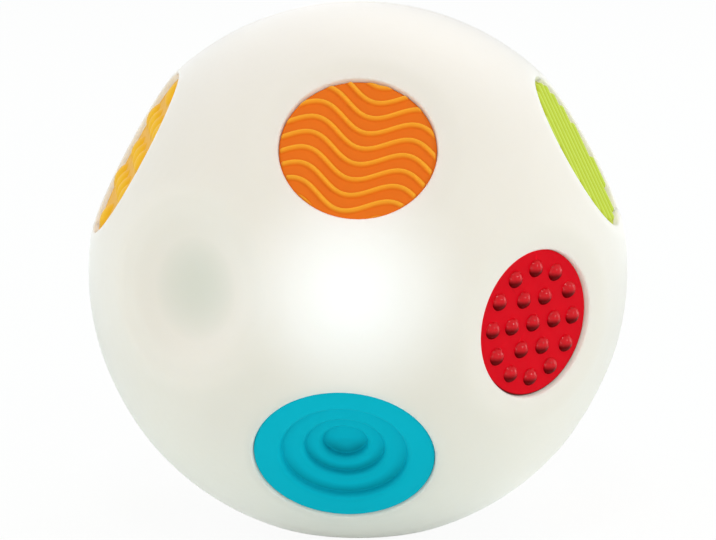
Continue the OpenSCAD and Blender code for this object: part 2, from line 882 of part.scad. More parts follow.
placed() front_shell();
placed() rear_shell();
placed() wave_disc(wave_dir);  // wave_disc_front
placed() bump_disc(bump_dir);  // bump_disc_front
placed() ridge_disc(ridge_dir);  // ridge_disc_front
placed() stud_disc();
placed() bowl_disc(bowl_dir);  // bowl_disc_front
placed() wave_disc(opposite(wave_dir));  // wave_disc_rear
placed() bump_disc(opposite(bump_dir));  // bump_disc_rear
placed() ridge_disc(opposite(ridge_dir));  // ridge_disc_rear
placed() bowl_disc(opposite(bowl_dir));  // bowl_disc_rear
placed() shell_screws();
placed() battery_door();
placed() door_screws();
placed() battery_cells();
placed() base_contacts();
placed() door_contacts();
placed() main_board();
placed() board_screws();
placed() glow_led();
placed() sound_chip();
placed() capacitor();
placed() resistors();
placed() motion_can();
placed() motion_ball();
placed() speaker_frame();
placed() speaker_cone();
placed() speaker_magnet();
placed() speaker_clamp();
placed() clamp_screws();
placed() switch_body();
placed() switch_knob();
placed() switch_screws();
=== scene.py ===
import math
import bpy
from mathutils import Matrix, Vector


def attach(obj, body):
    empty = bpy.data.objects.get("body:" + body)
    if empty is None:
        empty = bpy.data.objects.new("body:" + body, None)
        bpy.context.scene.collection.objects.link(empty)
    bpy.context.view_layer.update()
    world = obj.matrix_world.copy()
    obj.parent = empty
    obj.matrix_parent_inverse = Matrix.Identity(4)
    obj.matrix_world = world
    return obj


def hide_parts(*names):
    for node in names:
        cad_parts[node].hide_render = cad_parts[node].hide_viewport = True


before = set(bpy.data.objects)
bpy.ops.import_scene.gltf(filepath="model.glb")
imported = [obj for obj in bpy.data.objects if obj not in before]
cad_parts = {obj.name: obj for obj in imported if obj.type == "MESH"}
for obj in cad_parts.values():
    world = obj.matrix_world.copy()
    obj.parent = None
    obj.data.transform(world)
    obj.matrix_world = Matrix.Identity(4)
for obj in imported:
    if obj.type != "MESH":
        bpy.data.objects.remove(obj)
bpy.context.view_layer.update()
mm = 0.001  # sizes are written in millimetres, Blender works in metres

# Where the spots of the ball look: turn to the right from the front, and height over the equator
spotWays = {
    "wave": (0.0, 37.8),
    "bump": (-84.0, 29.0),
    "ridge": (81.0, 30.0),
    "stud": (42.0, -3.5),
    "bowl": (-3.6, -33.4),
    "dish": (-38.5, 4.5),
    "bottom": (45.0, -90.0),
    "lamp": (-1.0, 6.5),
}

# Radius of each disc's seat
seatR = {"wave": 18.0, "bump": 21.3, "ridge": 19.9, "stud": 17.3, "bowl": 20.9}

# The ball's middle lies a little under the middle of its box
ballMiddle = Vector((0.0, 0.0, -2.0 * mm))
ballR = 65.0
upright = Vector((0.0, 0.0, 1.0))


def opposite(way):
    return (way[0] + 180.0, -way[1])


def turned(degrees, axis):
    return Matrix.Rotation(math.radians(degrees), 4, axis)


def moved(x, y, z):
    return Matrix.Translation((x * mm, y * mm, z * mm))


# Turn from facing up to facing a way out of the ball
def facing(way):
    return turned(way[0], "Z") @ turned(90.0 - way[1], "X")


# Stands a piece that was made facing up on its side of the ball
def onBall(way):
    return Matrix.Translation(ballMiddle) @ facing(way)


# Small hand tools

def dropSelection():
    if bpy.context.object and bpy.context.object.mode != "OBJECT":
        bpy.ops.object.mode_set(mode="OBJECT")
    bpy.ops.object.select_all(action="DESELECT")


def pickUp(piece):
    dropSelection()
    piece.select_set(True)
    bpy.context.view_layer.objects.active = piece


def startEdit(piece):
    pickUp(piece)
    bpy.ops.object.mode_set(mode="EDIT")
    bpy.ops.mesh.select_mode(type="VERT")
    bpy.ops.mesh.select_all(action="SELECT")


def endEdit():
    bpy.ops.object.mode_set(mode="OBJECT")


def settle(piece):
    pickUp(piece)
    bpy.ops.object.transform_apply(location=True, rotation=True, scale=True)


def applyAll(piece):
    pickUp(piece)
    for modifier in list(piece.modifiers):
        bpy.ops.object.modifier_apply(modifier=modifier.name)


def combine(piece, other, how):
    step = piece.modifiers.new("combine", "BOOLEAN")
    step.operation = how
    step.solver = "MANIFOLD"
    step.object = other
    applyAll(piece)


def throwAway(piece):
    mesh = piece.data
    bpy.data.objects.remove(piece)
    bpy.data.meshes.remove(mesh)


def joinIn(piece, other, how="UNION"):
    combine(piece, other, how)
    throwAway(other)


# Joins loose objects to one, without cutting them
def gather(pieces):
    pickUp(pieces[0])
    for piece in pieces:
        piece.select_set(True)
    bpy.ops.object.join()
    return bpy.context.object


def roundEdges(piece, width, segments=2, angle=40.0):
    step = piece.modifiers.new("rounding", "BEVEL")
    step.width = width * mm
    step.segments = segments
    step.limit_method = "ANGLE"
    step.angle_limit = math.radians(angle)
    applyAll(piece)


# Merges faces that lie in one plane, after putting them in a fixed order: by their distance from a
# place off every axis, so that each run gives the same mesh
sortFrom = Vector((11.3, 23.9, 41.7)) * mm


def mergeFlats(piece, angle):
    startEdit(piece)
    bpy.context.scene.cursor.location = sortFrom
    bpy.ops.mesh.sort_elements(type="CURSOR_DISTANCE", elements={"VERT", "EDGE", "FACE"})
    bpy.context.scene.cursor.location = (0.0, 0.0, 0.0)
    bpy.ops.mesh.dissolve_limited(angle_limit=math.radians(angle))
    endEdit()


def smoothFaces(piece, angle=35.0):
    pickUp(piece)
    bpy.ops.object.shade_smooth_by_angle(angle=math.radians(angle))
    step = piece.modifiers.new("evenShade", "WEIGHTED_NORMAL")
    step.keep_sharp = True
    applyAll(piece)


def named(name):
    piece = bpy.context.object
    piece.name = name
    piece.data.name = name
    return piece


def copyOf(node, name, weld=0.002):
    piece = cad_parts[node].copy()
    piece.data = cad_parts[node].data.copy()
    piece.name = name
    piece.data.name = name
    piece.parent = None
    piece.matrix_world = Matrix.Identity(4)
    for key in list(piece.keys()):
        del piece[key]
    bpy.context.scene.collection.objects.link(piece)
    startEdit(piece)
    bpy.ops.mesh.remove_doubles(threshold=weld * mm)
    endEdit()
    return piece


# Outline drawn point by point and spun round the upright axis
def spinOutline(points, name, steps=128, weld=0.005):
    dropSelection()
    bpy.ops.mesh.primitive_plane_add(size=1.0 * mm)
    piece = named(name)
    startEdit(piece)
    bpy.ops.mesh.merge(type="CENTER")
    bpy.ops.transform.translate(value=(points[0][0] * mm, 0.0, points[0][1] * mm))
    for before, after in zip(points, points[1:]):
        move = ((after[0] - before[0]) * mm, 0.0, (after[1] - before[1]) * mm)
        bpy.ops.mesh.extrude_vertices_move(TRANSFORM_OT_translate={"value": move})
    bpy.ops.mesh.select_all(action="SELECT")
    bpy.ops.mesh.spin(steps=steps, angle=2.0 * math.pi, center=(0.0, 0.0, 0.0), axis=upright)
    bpy.ops.mesh.select_all(action="SELECT")
    bpy.ops.mesh.remove_doubles(threshold=weld * mm)
    bpy.ops.mesh.normals_make_consistent(inside=False)
    endEdit()
    return piece


# Quarter of a circle for an outline, from its outer side up to its top
def roundedRim(rim, top, bend, steps=5):
    turns = [0.5 * math.pi * i / steps for i in range(steps + 1)]
    return [(rim - bend + bend * math.cos(turn), top - bend + bend * math.sin(turn))
            for turn in turns]


# Copies of one piece, each with its own mesh, joined to one object
def spread(piece, moves):
    row = []
    for move in moves:
        twin = piece.copy()
        twin.data = piece.data.copy()
        twin.data.transform(move)
        bpy.context.scene.collection.objects.link(twin)
        row.append(twin)
    name = piece.name
    throwAway(piece)
    gather(row)
    return named(name)


def finishPiece(piece, body, node, material):
    piece.data.materials.clear()
    piece.data.materials.append(material)
    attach(piece, body)
    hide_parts(node)


# Camera, at the angle of the photograph
cameraPlan = {"lens": 162.0, "sensor": 36.0, "distance": 780.0, "height": 11.0,
              "near": 0.01, "far": 50.0}


def setCamera():
    plan = cameraPlan
    data = bpy.data.cameras.new("photoCamera")
    data.lens = plan["lens"]
    data.sensor_width = plan["sensor"]
    data.clip_start = plan["near"]
    data.clip_end = plan["far"]
    camera = bpy.data.objects.new("photoCamera", data)
    bpy.context.scene.collection.objects.link(camera)
    rise = math.radians(plan["height"])
    away = plan["distance"] * mm
    camera.location = ballMiddle + Vector((0.0, -away * math.cos(rise), away * math.sin(rise)))
    camera.rotation_euler = (math.radians(90.0) - rise, 0.0, 0.0)
    bpy.context.scene.camera = camera


setCamera()
print("camera set")


# Node tools

# A socket takes a link from another node or a plain value
def feed(tree, socket, source):
    if isinstance(source, bpy.types.NodeSocket):
        tree.links.new(source, socket)
    elif socket.type == "RGBA":
        socket.default_value = (*source, 1.0)
    else:
        socket.default_value = source


# Each of these puts in one node and gives back what comes out of it
def placeOf(tree, kind="Object"):
    return tree.nodes.new("ShaderNodeTexCoord").outputs[kind]


def numberNode(tree, operation, first, second, clamp=False):
    node = tree.nodes.new("ShaderNodeMath")
    node.operation = operation
    node.use_clamp = clamp
    feed(tree, node.inputs[0], first)
    feed(tree, node.inputs[1], second)
    return node.outputs["Value"]


def vectorNode(tree, operation, first, second, result="Value"):
    node = tree.nodes.new("ShaderNodeVectorMath")
    node.operation = operation
    feed(tree, node.inputs[0], first)
    feed(tree, node.inputs[1], second)
    return node.outputs[result]


def rangeNode(tree, value, fromMin=0.0, fromMax=1.0, toMin=0.0, toMax=1.0, soft=False):
    node = tree.nodes.new("ShaderNodeMapRange")
    node.interpolation_type = "SMOOTHSTEP" if soft else "LINEAR"
    feed(tree, node.inputs["Value"], value)
    feed(tree, node.inputs["From Min"], fromMin)
    feed(tree, node.inputs["From Max"], fromMax)
    feed(tree, node.inputs["To Min"], toMin)
    feed(tree, node.inputs["To Max"], toMax)
    return node.outputs["Result"]


def colourNode(tree, share, first, second):
    node = tree.nodes.new("ShaderNodeMix")
    node.data_type = "RGBA"
    feed(tree, node.inputs["Factor"], share)
    feed(tree, node.inputs["A"], first)
    feed(tree, node.inputs["B"], second)
    return node.outputs["Result"]


def noiseNode(tree, place, scale, detail):
    node = tree.nodes.new("ShaderNodeTexNoise")
    feed(tree, node.inputs["Vector"], place)
    feed(tree, node.inputs["Scale"], scale)
    feed(tree, node.inputs["Detail"], detail)
    return node.outputs["Fac"]


# Place on a piece, counted from the ball's middle
def fromMiddle(tree):
    return vectorNode(tree, "SUBTRACT", placeOf(tree), ballMiddle, "Vector")


def newMaterial(name):
    material = bpy.data.materials.new(name)
    material.use_nodes = True
    return material, material.node_tree, material.node_tree.nodes["Principled BSDF"].inputs


def newGroup(name, inputs, outputs):
    group = bpy.data.node_groups.new(name, "ShaderNodeTree")
    for side, sockets in (("INPUT", inputs), ("OUTPUT", outputs)):
        for label, kind in sockets.items():
            group.interface.new_socket(label, in_out=side, socket_type="NodeSocket" + kind)
    start = group.nodes.new("NodeGroupInput").outputs
    end = group.nodes.new("NodeGroupOutput").inputs
    return group, start, end


def groupNode(tree, group, values):
    node = tree.nodes.new("ShaderNodeGroup")
    node.node_tree = group
    for name, value in values.items():
        feed(tree, node.inputs[name], value)
    return node.outputs


# Moulded finish: a little cloudiness in the colour, uneven gloss and the fine grain of the mould
finishPlan = {"cloudFrom": 0.35, "cloudTo": 0.7, "cloudDetail": 3.0, "grainDetail": 2.0,
              "glossFrom": 0.86, "glossTo": 1.14}


def makeMouldedFinish():
    plan = finishPlan
    group, start, end = newGroup(
        "mouldedFinish",
        {"Colour": "Color", "Deep Colour": "Color", "Roughness": "Float", "Cloud Scale": "Float",
         "Cloud Amount": "Float", "Grain Scale": "Float"},
        {"Colour": "Color", "Roughness": "Float", "Height": "Float"})
    place = placeOf(group)
    cloud = noiseNode(group, place, start["Cloud Scale"], plan["cloudDetail"])
    cloud = rangeNode(group, cloud, plan["cloudFrom"], plan["cloudTo"])
    share = numberNode(group, "MULTIPLY", cloud, start["Cloud Amount"])
    feed(group, end["Colour"], colourNode(group, share, start["Colour"], start["Deep Colour"]))
    grain = noiseNode(group, place, start["Grain Scale"], plan["grainDetail"])
    feed(group, end["Height"], grain)
    gloss = rangeNode(group, grain, toMin=plan["glossFrom"], toMax=plan["glossTo"])
    feed(group, end["Roughness"], numberNode(group, "MULTIPLY", gloss, start["Roughness"]))
    return group


mouldedFinish = makeMouldedFinish()


# Plastic or rubber with the moulded finish; the grain's bump depth is in millimetres
def mouldedMaterial(name, plan, cloudScale=40.0, cloudAmount=0.3, grainScale=2500.0, grainDepth=0.02):
    material, tree, shader = newMaterial(name)
    finish = groupNode(tree, mouldedFinish, {
        "Colour": plan["colour"], "Deep Colour": plan["deepColour"], "Roughness": plan["roughness"],
        "Cloud Scale": cloudScale, "Cloud Amount": cloudAmount, "Grain Scale": grainScale})
    bump = tree.nodes.new("ShaderNodeBump")
    feed(tree, bump.inputs["Distance"], grainDepth * mm)
    feed(tree, bump.inputs["Strength"], 0.6)
    feed(tree, bump.inputs["Height"], finish["Height"])
    feed(tree, shader["Base Color"], finish["Colour"])
    feed(tree, shader["Roughness"], finish["Roughness"])
    feed(tree, shader["Normal"], bump.outputs["Normal"])
    return material, tree, shader, finish["Colour"]


# Milky shell: a white sheen along its edge, painted shade making it a little darker in its hollows,
# and a painted glow:
# lit faintly from inside, with a soft glow where the lamp shines through
milkyPlan = {
    "colour": (0.75, 0.705, 0.635),
    "deepColour": (0.73, 0.69, 0.615),
    "cloudScale": 28.0,
    "cloudAmount": 0.5,
    "hollowShadeColour": (0.61, 0.61, 0.53),
    "hollowFrom": 61.0,
    "hollowTo": 58.4,
    "roughness": 0.5,
    "gloss": 0.3,
    "sheen": 1.0,
    "sheenRoughness": 0.5,
    "innerLight": (0.08, 0.08, 0.07),
    "glowColour": (0.33, 0.37, 0.42),
    "glowReach": 31.0,
    "milkiness": 0.7,
    "milkDepth": 5.0,
    "milkTint": (1.0, 0.95, 0.85),
}


def makeMilky():
    plan = milkyPlan
    material, tree, shader, colour = mouldedMaterial(
        "milkyPlastic", plan, cloudScale=plan["cloudScale"], cloudAmount=plan["cloudAmount"])
    place = placeOf(tree)
    # painted glow: emission on the shell, faint all over and brighter near the lamp, stands in for the
    # lamp's light shining through
    lampPlace = onBall(spotWays["lamp"]) @ (upright * (ballR * mm))
    toLamp = vectorNode(tree, "DISTANCE", place, lampPlace)
    glow = rangeNode(tree, toLamp, 0.0, plan["glowReach"] * mm, 1.0, 0.0, soft=True)
    light = colourNode(tree, glow, plan["innerLight"], plan["glowColour"])
    feed(tree, shader["Emission Color"], light)
    shader["Emission Strength"].default_value = 1.0
    toMiddle = vectorNode(tree, "DISTANCE", place, ballMiddle)
    # painted shade: the shell's colour darkens nearer the ball's middle, in its dishes and hollows
    hollow = rangeNode(tree, toMiddle, plan["hollowFrom"] * mm, plan["hollowTo"] * mm)
    feed(tree, shader["Base Color"], colourNode(tree, hollow, colour, plan["hollowShadeColour"]))
    shader["Subsurface Weight"].default_value = plan["milkiness"]
    shader["Subsurface Radius"].default_value = plan["milkTint"]
    shader["Subsurface Scale"].default_value = plan["milkDepth"] * mm
    shader["Specular IOR Level"].default_value = plan["gloss"]
    shader["Sheen Weight"].default_value = plan["sheen"]
    shader["Sheen Roughness"].default_value = plan["sheenRoughness"]
    return material


milkyPlastic = makeMilky()


# Mask of how high a point stands along an axis through the ball's middle, on either side of it
def makeLiftMask():
    group, start, end = newGroup(
        "liftMask", {"Axis": "Vector", "Low": "Float", "High": "Float"}, {"Mask": "Float"})
    along = vectorNode(group, "DOT_PRODUCT", fromMiddle(group), start["Axis"])
    either = numberNode(group, "ABSOLUTE", along, 0.0)
    feed(group, end["Mask"], rangeNode(group, either, start["Low"], start["High"]))
    return group


liftMask = makeLiftMask()

# Soft discs: colour between the texture, painted light on its crests (lighter on the orange, yellow
# and green discs, darker on the red studs), and the heights over the ball's middle between which it
# changes; the red studs have a clear coat on top and painted shade making them darker on their
# underside
rubberPlan = {
    "orangeRubber": {
        "way": "wave", "colour": (0.82, 0.18, 0.008), "deepColour": (0.78, 0.16, 0.006),
        "crestShadingColour": (0.98, 0.42, 0.03), "low": 59.9, "high": 60.55,
        "roughness": 0.5, "gloss": 0.085,
    },
    "yellowRubber": {
        "way": "bump", "colour": (0.86, 0.44, 0.010), "deepColour": (0.82, 0.40, 0.008),
        "crestShadingColour": (0.91, 0.52, 0.018), "low": 59.9, "high": 61.1,
        "roughness": 0.45, "gloss": 0.115,
    },
    "greenRubber": {
        "way": "ridge", "colour": (0.54, 0.60, 0.035), "deepColour": (0.50, 0.55, 0.03),
        "crestShadingColour": (0.56, 0.70, 0.08), "low": 60.1, "high": 60.8,
        "roughness": 0.45, "gloss": 0.115,
    },
    "redRubber": {
        "way": "stud", "colour": (0.90, 0.004, 0.016), "deepColour": (0.80, 0.003, 0.012),
        "crestShadingColour": (0.64, 0.003, 0.010), "low": 59.81, "high": 60.0,
        "roughness": 0.14, "gloss": 0.035,
        "underShadeColour": (0.14, 0.001, 0.002), "underFrom": -0.2, "underTo": 0.45, "crestCoat": 0.36,
    },
}
rubberCloud = 60.0


def reliefMaterial(name, plan):
    way = spotWays[plan["way"]]
    material, tree, shader, colour = mouldedMaterial(name, plan, cloudScale=rubberCloud)
    shader["Specular IOR Level"].default_value = plan["gloss"]
    crest = groupNode(tree, liftMask, {
        "Axis": facing(way) @ upright, "Low": plan["low"] * mm, "High": plan["high"] * mm})["Mask"]
    # painted light on the crests: lighter on the orange, yellow and green discs, darker on the red
    # studs
    tone = colourNode(tree, crest, colour, plan["crestShadingColour"])
    if "underShadeColour" in plan:
        # painted shade: the sides of the studs that face down are darkened
        down = facing(way) @ Vector((0.0, -1.0, 0.0))
        under = vectorNode(tree, "DOT_PRODUCT", placeOf(tree, "Normal"), down)
        under = rangeNode(tree, under, plan["underFrom"], plan["underTo"], soft=True)
        tone = colourNode(tree, under, tone, plan["underShadeColour"])
        upper = numberNode(tree, "SUBTRACT", crest, under, clamp=True)
        feed(tree, shader["Coat Weight"], numberNode(tree, "MULTIPLY", upper, plan["crestCoat"]))
        shader["Coat Roughness"].default_value = plan["roughness"]
    feed(tree, shader["Base Color"], tone)
    return material


rubber = {name: reliefMaterial(name, plan) for name, plan in rubberPlan.items()}

# Blue discs: painted shade, darker at the foot of each step, on its lower side; each stop of the shade
# stands at a share of the disc's radius
blueFinish = {
    "colour": (0.001, 0.50, 0.65), "deepColour": (0.001, 0.47, 0.61),
    "footShadeColour": (0.001, 0.25, 0.34),
    "roughness": 0.55, "gloss": 0.035, "lowerFrom": 0.25, "lowerTo": -0.9,
    "footShadeStops": ((0.0, 0.1), (0.1, 0.3), (0.215, 0.85), (0.26, 0.15), (0.33, 0.0), (0.42, 0.7),
              (0.46, 0.1), (0.56, 0.0), (0.675, 0.65), (0.72, 0.1), (0.8, 0.0), (1.0, 0.0)),
}


def makeBlueRubber():
    plan = blueFinish
    turn = facing(spotWays["bowl"])
    material, tree, shader, colour = mouldedMaterial("blueRubber", plan, cloudScale=rubberCloud)
    shader["Specular IOR Level"].default_value = plan["gloss"]
    place = fromMiddle(tree)
    across = vectorNode(tree, "CROSS_PRODUCT", place, turn @ upright, "Vector")
    away = vectorNode(tree, "LENGTH", across, (0.0, 0.0, 0.0))
    # painted shade: the ramp gives how dark each step's foot is, by distance from the disc's axis, and
    # only the lower side gets it
    rings = tree.nodes.new("ShaderNodeValToRGB")
    stops = rings.color_ramp.elements
    while len(stops) < len(plan["footShadeStops"]):
        stops.new(0.5)
    for stop, (where, amount) in zip(stops, plan["footShadeStops"]):
        stop.position = where
        stop.color = (amount, amount, amount, 1.0)
    feed(tree, rings.inputs["Fac"], numberNode(tree, "DIVIDE", away, seatR["bowl"] * mm))
    rise = vectorNode(tree, "DOT_PRODUCT", place, turn @ Vector((0.0, 1.0, 0.0)))
    lean = numberNode(tree, "DIVIDE", rise, away)
    lower = rangeNode(tree, lean, plan["lowerFrom"], plan["lowerTo"], soft=True)
    shade = numberNode(tree, "MULTIPLY", rings.outputs["Color"], lower)
    feed(tree, shader["Base Color"], colourNode(tree, shade, colour, plan["footShadeColour"]))
    return material


rubber["blueRubber"] = makeBlueRubber()

# Steel: fine streaks from a stretched noise, which also make its gloss uneven
steelPlan = {"colour": (0.62, 0.62, 0.61), "darker": 0.82, "roughness": 0.3, "uneven": 0.3,
             "stretch": (1.0, 1.0, 0.08), "scale": 1400.0, "detail": 3.0}


def makeSteel():
    plan = steelPlan
    material, tree, shader = newMaterial("brightSteel")
    turn = tree.nodes.new("ShaderNodeMapping")
    feed(tree, turn.inputs["Scale"], plan["stretch"])
    feed(tree, turn.inputs["Vector"], placeOf(tree))
    streaks = noiseNode(tree, turn.outputs["Vector"], plan["scale"], plan["detail"])
    dark = [plan["darker"] * part for part in plan["colour"]]
    feed(tree, shader["Base Color"], colourNode(tree, streaks, dark, plan["colour"]))
    least, most = 1.0 - plan["uneven"], 1.0 + plan["uneven"]
    rough = rangeNode(tree, streaks, toMin=plan["roughness"] * least, toMax=plan["roughness"] * most)
    feed(tree, shader["Roughness"], rough)
    shader["Metallic"].default_value = 1.0
    return material


brightSteel = makeSteel()

# Finishes of what is inside, and of the knob
insidePlan = {
    "darkPlastic": {
        "colour": (0.03, 0.03, 0.032), "deepColour": (0.02, 0.02, 0.022), "roughness": 0.45},
    "knobPlastic": {
        "colour": (0.16, 0.165, 0.17), "deepColour": (0.13, 0.13, 0.135), "roughness": 0.42},
    "ferrite": {
        "colour": (0.045, 0.045, 0.05), "deepColour": (0.03, 0.03, 0.03), "roughness": 0.6},
    "boardLacquer": {
        "colour": (0.02, 0.16, 0.06), "deepColour": (0.012, 0.11, 0.04), "roughness": 0.3},
    "lampLens": {
        "colour": (0.85, 0.86, 0.84), "deepColour": (0.8, 0.8, 0.76), "roughness": 0.12},
    "cellJacket": {
        "colour": (0.42, 0.30, 0.09), "deepColour": (0.36, 0.25, 0.07), "roughness": 0.3},
}
insideGrain = {"ferrite": {"grainScale": 1200.0}, "lampLens": {"grainDepth": 0.002}}
inside = {name: mouldedMaterial(name, plan, **insideGrain.get(name, {}))[0]
          for name, plan in insidePlan.items()}
print("materials made")


# Ball skin: round surface with flats that run softly into it, and smooth dishes
skinPlan = {
    "spotDepth": 4.0,
    "rimW": 0.6,
    "edgeMinR": 1.5,
    "edgeCross": 12.0,
    "doorMouthR": 19.5,
    "dishR": 17.0,
    "dishDepth": 2.6,
    "dishRimW": 2.8,
    "dishBlend": 0.5,
    "edgeBlend": 0.35,
    "edgeShare": 0.9,
    "inset": 0.015,
    "reach": 32.0,
    "cuts": 110,
}


def softMin(a, b, blend):
    near = max(blend - abs(a - b), 0.0) / blend
    return min(a, b) - near * near * blend / 4.0


def makeSpot(way, flatR, dished=False):
    plan = skinPlan
    depth = plan["spotDepth"]
    flatZ = ballR - depth
    edgeR = max(plan["edgeMinR"], (ballR + flatZ - flatR * flatR / depth) / 2.0)
    drop = flatZ - edgeR
    cross = 1.0 - math.cos(math.radians(plan["edgeCross"]))
    reach = math.sqrt((ballR - edgeR) ** 2 + 2.0 * ballR * edgeR * cross)
    arcR = math.sqrt(reach * reach - drop * drop)
    return {
        "axis": facing(way) @ upright, "flatZ": flatZ, "edgeR": edgeR, "drop": drop, "reach": reach,
        "arcR": arcR, "flatEnd": math.atan2(arcR, flatZ), "arcEnd": math.atan2(arcR, drop),
        "dished": dished, "blend": min(plan["edgeBlend"], plan["edgeShare"] * (reach + edgeR - ballR)),
    }


# Distance from the ball's middle to a spot's surface, at an angle from the spot's axis
def spotDistance(spot, angle):
    plan = skinPlan
    across, along = math.sin(angle), math.cos(angle)
    if angle <= spot["flatEnd"]:
        distance = spot["flatZ"] / along
    elif angle < spot["arcEnd"]:
        dot = across * spot["arcR"] + along * spot["drop"]
        distance = dot + math.sqrt(dot * dot - spot["reach"] ** 2 + spot["edgeR"] ** 2)
    else:
        distance = spot["reach"] + spot["edgeR"] + ballR * (angle - spot["arcEnd"])
    if spot["dished"]:
        roundR = (plan["dishR"] ** 2 + plan["dishDepth"] ** 2) / (2.0 * plan["dishDepth"])
        middle = spot["flatZ"] - plan["dishDepth"] + roundR
        within = (along * middle) ** 2 - middle * middle + roundR * roundR
        if within > 0.0:
            distance = softMin(distance, along * middle - math.sqrt(within), plan["dishBlend"])
    return distance


def listSpots():
    plan = skinPlan
    ways = spotWays
    spots = [makeSpot(opposite(ways["dish"]), plan["doorMouthR"] + plan["rimW"]),
             makeSpot(ways["stud"], seatR["stud"] + plan["rimW"])]
    for name in ("wave", "bump", "ridge", "bowl"):
        for way in (ways[name], opposite(ways[name])):
            spots.append(makeSpot(way, seatR[name] + plan["rimW"]))
    for way in (ways["dish"], ways["bottom"], opposite(ways["stud"])):
        spots.append(makeSpot(way, plan["dishR"] + plan["dishRimW"], dished=True))
    return spots


def makeBallSkin():
    plan = skinPlan
    spots = listSpots()
    dropSelection()
    bpy.ops.mesh.primitive_cube_add(size=2.0 * ballR * mm)
    skin = named("ballSkin")
    startEdit(skin)
    bpy.ops.mesh.subdivide(number_cuts=plan["cuts"])
    endEdit()
    farthest = math.cos(math.radians(plan["reach"]))
    for vertex in skin.data.vertices:
        way = vertex.co.normalized()
        distance = ballR
        for spot in spots:
            lean = way.dot(spot["axis"])
            if lean > farthest:
                angle = math.acos(min(1.0, lean))
                distance = softMin(distance, spotDistance(spot, angle), spot["blend"])
        vertex.co = ballMiddle + way * ((distance - plan["inset"]) * mm)
    skin.data.update()
    return skin


# Fine groove where the half shells meet
seamPlan = {"outR": 65.6, "lowR": 64.65, "half": 0.4, "steps": 180}


def makeSeamRing():
    plan = seamPlan
    corner = (plan["outR"], -plan["half"])
    points = [corner, (plan["lowR"], 0.0), (plan["outR"], plan["half"]), corner]
    ring = spinOutline(points, "seamRing", plan["steps"])
    ring.data.transform(Matrix.Translation(ballMiddle) @ turned(90.0, "X"))
    return ring


ballSkin = makeBallSkin()
seamRing = makeSeamRing()
for node, name in (("front_shell", "frontShell"), ("rear_shell", "rearShell")):
    shell = copyOf(node, name)
    combine(shell, ballSkin, "INTERSECT")
    combine(shell, seamRing, "DIFFERENCE")
    smoothFaces(shell, 30.0)
    finishPiece(shell, "ball", node, milkyPlastic)
    print(name, "made,", len(shell.data.polygons), "faces")
throwAway(ballSkin)
throwAway(seamRing)

# What all discs share: the gap round them in their seat and the height of their face
discPlan = {"fitGap": 0.15, "faceZ": 59.8, "footDrop": 0.8, "plateDrop": 1.4}


def discR(kind):
    return seatR[kind] - discPlan["fitGap"]


# Lower part of a disc, with its stem, cut off flat below the texture and laid to face up
def discFoot(node, name, way, height):
    piece = copyOf(node, name)
    piece.data.transform(onBall(way).inverted())
    startEdit(piece)
    bpy.ops.mesh.bisect(plane_co=upright * (height * mm), plane_no=upright,
                        use_fill=True, clear_outer=True)
    endEdit()
    return piece


# Orange discs: wavy ridges with rounded backs
wavePlan = {
    "ridgeH": 1.2, "ridgeHalf": 0.85, "pitch": 4.1, "length": 22.6, "swing": 2.6, "turn": -16.0,
    "leadShare": 0.26, "rowShare": -0.24, "rimRound": 0.4, "fade": 0.6, "cells": 190, "overhang": 0.5,
    "borderSides": 180, "borderH": 12.0,
}


def waveHeight(x, y):
    plan = wavePlan
    turn = math.radians(-plan["turn"])
    u = x * math.cos(turn) - y * math.sin(turn)
    v = x * math.sin(turn) + y * math.cos(turn)
    phase = 2.0 * math.pi / plan["length"]
    angle = phase * u - 2.0 * math.pi * plan["leadShare"]
    middle = plan["swing"] * math.sin(angle)
    slope = plan["swing"] * phase * math.cos(angle)
    off = (v - middle) / plan["pitch"] - plan["rowShare"]
    off = (off - round(off)) * plan["pitch"] / math.sqrt(1.0 + slope * slope)
    rim = discR("wave") - math.hypot(x, y)
    height = 0.0
    if abs(off) < plan["ridgeHalf"]:
        height = plan["ridgeH"] * (0.5 + 0.5 * math.cos(math.pi * off / plan["ridgeHalf"]))
    height *= min(1.0, max(0.0, rim / plan["fade"]))
    edge = max(0.0, plan["rimRound"] - max(rim, 0.0))
    return height - (plan["rimRound"] - math.sqrt(max(0.0, plan["rimRound"] ** 2 - edge * edge)))


def makeWaveDisc(node, name, way):
    plan, face = wavePlan, discPlan["faceZ"]
    foot = discFoot(node, name + "Foot", way, face - discPlan["footDrop"])
    dropSelection()
    bpy.ops.mesh.primitive_grid_add(x_subdivisions=plan["cells"], y_subdivisions=plan["cells"],
                                    size=2.0 * (discR("wave") + plan["overhang"]) * mm)
    disc = named(name)
    for vertex in disc.data.vertices:
        vertex.co.z = (face + waveHeight(vertex.co.x / mm, vertex.co.y / mm)) * mm
    startEdit(disc)
    low = (face - discPlan["plateDrop"]) * mm
    bpy.ops.mesh.extrude_region_move(TRANSFORM_OT_translate={"value": (0.0, 0.0, -4.0 * mm)})
    bpy.ops.transform.resize(value=(1.0, 1.0, 0.0), center_override=(0.0, 0.0, low))  # flat underside
    bpy.ops.mesh.select_all(action="SELECT")
    bpy.ops.mesh.normals_make_consistent(inside=False)
    endEdit()
    dropSelection()
    bpy.ops.mesh.primitive_cylinder_add(vertices=plan["borderSides"], radius=discR("wave") * mm,
                                        depth=plan["borderH"] * mm, location=upright * (face * mm))
    border = named(name + "Border")
    settle(border)
    joinIn(disc, border, "INTERSECT")
    joinIn(disc, foot)
    disc.data.transform(onBall(way))
    smoothFaces(disc)
    finishPiece(disc, "ball", node, rubber["orangeRubber"])


makeWaveDisc("wave_disc_front", "waveDiscFront", spotWays["wave"])
makeWaveDisc("wave_disc_rear", "waveDiscRear", opposite(spotWays["wave"]))
print("wave discs made")


# Blue discs: stepped bowls, each step rounded over its edge and tight at its foot
bowlPlan = {
    "topZ": 60.5, "lowZ": 53.3, "stepH": 1.8, "stepShares": (0.69, 0.436, 0.242), "rimRound": 0.5,
    "edgeRound": 1.3, "footRound": 0.25, "roundSteps": 6, "footRise": 0.8,
}


